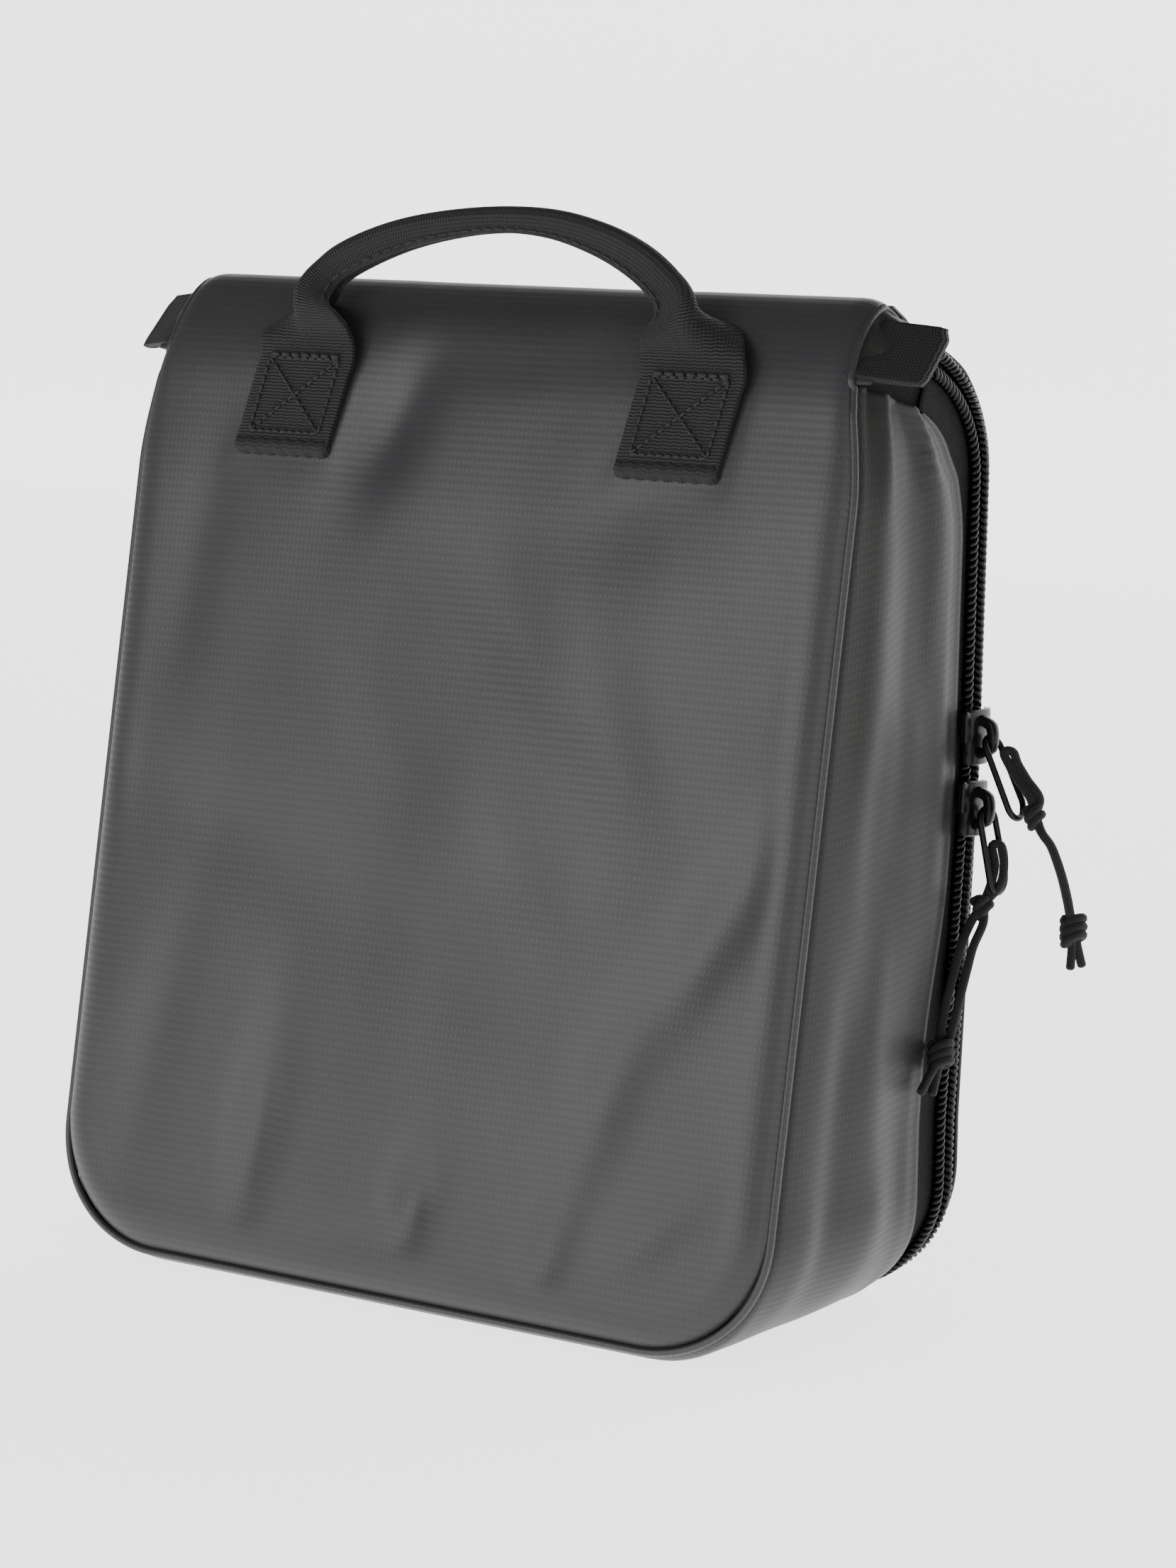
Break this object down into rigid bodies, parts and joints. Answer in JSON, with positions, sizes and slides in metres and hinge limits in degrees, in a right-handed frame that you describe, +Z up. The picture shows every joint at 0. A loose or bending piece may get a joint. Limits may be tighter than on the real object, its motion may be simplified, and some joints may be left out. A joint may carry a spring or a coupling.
{
  "type": "wash bag",
  "caption": "Upright clamshell wash bag with a sloping padded front, top-hinged zipped cover, box-stitched carry handle and side tabs.",
  "frame": {"origin": "middle of the flat base that the bag stands on", "axes": "+Z up, -Y towards the sloping front panel with the handle's sewn ends, +X towards the side with both zip sliders"},
  "size_m": [0.2639, 0.1092, 0.2772],
  "materials": {
    "shell_fabric": "satin coated ripstop",
    "gusset_fabric": "satin coated ripstop, soft folds",
    "foam": "matte closed-cell foam",
    "lining": "plain coated lining",
    "mesh": "open mesh",
    "binding": "matte woven tape",
    "zip_tape": "matte twill tape",
    "zip_coil": "glossy moulded coil",
    "webbing": "woven webbing with a slight sheen",
    "thread": "bonded sewing thread",
    "slider_metal": "gloss black enamel",
    "ring_metal": "gloss black wire",
    "cord": "braided"
  },
  "bodies": {
    "shell": {"front_panel": "shell_fabric", "front_padding": "foam", "front_lining": "lining", "slip_pocket": "lining", "slip_pocket_elastic": "binding", "gusset_outer": "gusset_fabric", "gusset_lining": "lining", "gusset_seam_binding": "binding", "corner_facing_left": "gusset_fabric", "corner_facing_right": "gusset_fabric", "zip_tape_shell": "zip_tape", "zip_coil_shell": "zip_coil", "tab_left": "webbing", "tab_right": "webbing", "handle_patch_left": "webbing", "handle_patch_right": "webbing", "box_stitch_left": "thread", "box_stitch_right": "thread"},
    "cover": {"back_panel": "shell_fabric", "back_padding": "foam", "back_lining": "lining", "cover_seam_binding": "binding", "mesh_pocket": "mesh", "pocket_zip_tape": "zip_tape", "pocket_zip_coil": "zip_coil", "zip_tape_cover": "zip_tape", "zip_coil_cover": "zip_coil"},
    "handle": {"handle_grip": "webbing"},
    "upper_slider": {"upper_slider": "slider_metal"},
    "upper_ring": {"upper_ring": "ring_metal"},
    "upper_cord": {"upper_cord_hitch": "cord", "upper_cord_leg_a": "cord", "upper_cord_leg_b": "cord", "upper_cord_end_knot": "cord"},
    "lower_slider": {"lower_slider": "slider_metal"},
    "lower_ring": {"lower_ring": "ring_metal"},
    "lower_cord": {"lower_cord_hitch": "cord", "lower_cord_leg_a": "cord", "lower_cord_leg_b": "cord", "lower_cord_end_knot": "cord"},
    "pocket_slider": {"pocket_slider": "slider_metal"},
    "pocket_pull": {"pocket_pull": "slider_metal"}
  },
  "joints": [
    {"name": "cover_hinge", "type": "hinge", "parent": "shell", "child": "cover", "pos_m": [0, 0.024, 0.2523], "axis": [1, 0, 0], "range_deg": [0, 110]},
    {"name": "handle_fold", "type": "hinge", "parent": "shell", "child": "handle", "pos_m": [0, -0.0066, 0.2384], "axis": [1, 0, 0], "range_deg": [-15, 85]},
    {"name": "upper_slider_travel", "type": "slide", "parent": "shell", "child": "upper_slider", "axis": [0, 0.0133, 0.9999], "range_m": [0, 0.058]},
    {"name": "upper_ring_swing", "type": "hinge", "parent": "upper_slider", "child": "upper_ring", "pos_m": [0.1157, 0.05263, 0.1465], "axis": [0, 1, 0], "range_deg": [-100, 0]},
    {"name": "upper_cord_swing", "type": "hinge", "parent": "upper_ring", "child": "upper_cord", "pos_m": [0.12408, 0.05413, 0.12676], "axis": [0, 1, 0], "range_deg": [-60, 0]},
    {"name": "lower_slider_travel", "type": "slide", "parent": "shell", "child": "lower_slider", "axis": [0, 0.0916, 0.9958], "range_m": [-0.07, 0]},
    {"name": "lower_ring_swing", "type": "hinge", "parent": "lower_slider", "child": "lower_ring", "pos_m": [0.1157, 0.05172, 0.1285], "axis": [0, 1, 0], "range_deg": [-25, 0]},
    {"name": "lower_cord_swing", "type": "hinge", "parent": "lower_ring", "child": "lower_cord", "pos_m": [0.11904, 0.05396, 0.10738], "axis": [0, 1, 0], "range_deg": [-35, 0]},
    {"name": "pocket_slider_travel", "type": "slide", "parent": "cover", "child": "pocket_slider", "axis": [1, 0, 0], "range_m": [0, 0.14]},
    {"name": "pocket_pull_swing", "type": "hinge", "parent": "pocket_slider", "child": "pocket_pull", "pos_m": [-0.07, 0.04968, 0.173], "axis": [1, 0, 0], "range_deg": [-80, 0]}
  ]
}
